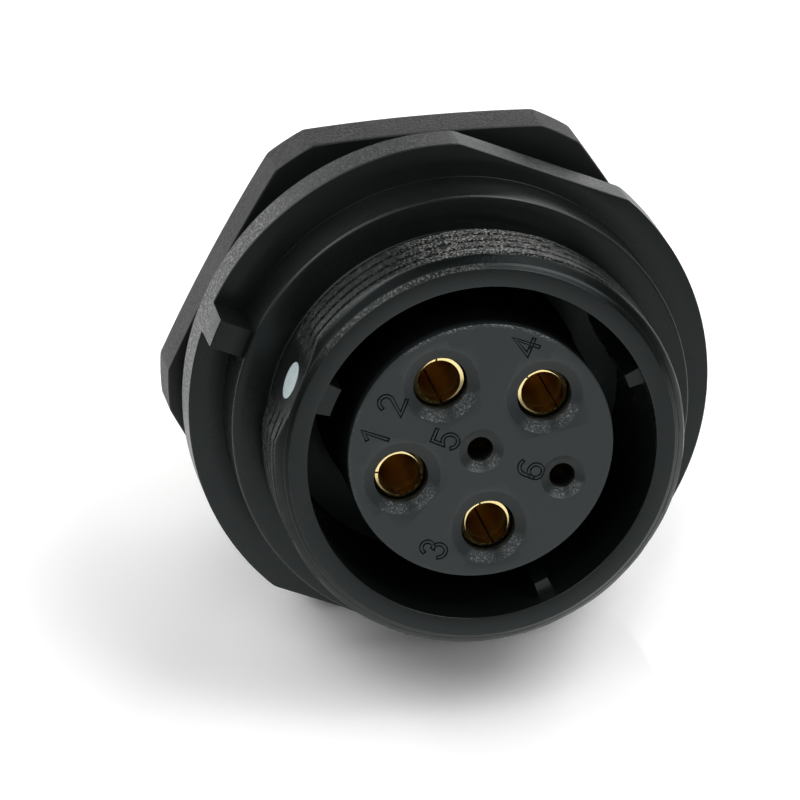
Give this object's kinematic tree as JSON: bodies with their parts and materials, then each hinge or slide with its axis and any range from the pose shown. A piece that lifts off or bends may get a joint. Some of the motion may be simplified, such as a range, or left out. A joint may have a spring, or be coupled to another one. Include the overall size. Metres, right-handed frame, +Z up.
{
  "type": "threaded circular connector receptacle",
  "caption": "Panel-mount threaded circular connector receptacle with a keyed barrel, numbered power and signal sockets, gasket and hexagonal jam nut.",
  "frame": {"origin": "on the connector's axis, in the plane of the flange's rear face, which seats on the panel", "axes": "-Y is the mating direction, out of the front; +Y points through the panel to the solder cups; +Z is up; two of the nut's flats are level"},
  "size_m": [0.0288, 0.0243, 0.028],
  "materials": {
    "shell": "black glass-filled nylon, satin, with spark-eroded grain on the thread and rim",
    "nut": "black glass-filled nylon, fine spark-eroded grain",
    "insert": "slate grey moulded plastic, satin",
    "insulator": "dark grey moulded plastic, satin",
    "seal": "black rubber, dull",
    "spring_steel": "oiled spring steel",
    "gold_contact": "gold plated, bright"
  },
  "bodies": {
    "receptacle": {"receptacle_shell": "shell", "contact_insert": "insert", "insert_seal": "seal", "rear_insulator": "insulator", "retaining_ring": "spring_steel", "power_socket_1": "gold_contact", "power_socket_2": "gold_contact", "power_socket_3": "gold_contact", "power_socket_4": "gold_contact", "signal_socket_5": "gold_contact", "signal_socket_6": "gold_contact"},
    "gasket": {"panel_gasket": "seal"},
    "nut": {"panel_nut": "nut"}
  },
  "joints": [
    {"name": "nut_turn", "type": "hinge", "parent": "receptacle", "child": "gasket", "pos_m": [0, 0, 0], "axis": [0, 1, 0], "range_deg": [-540, 2880]},
    {"name": "nut_travel", "type": "slide", "parent": "gasket", "child": "nut", "axis": [0, 1, 0], "range_m": [-0.0015, 0.008]}
  ],
  "couplings": [
    {"joint": "nut_travel", "follows": "nut_turn", "m_per_rad": 0.00015915}
  ]
}
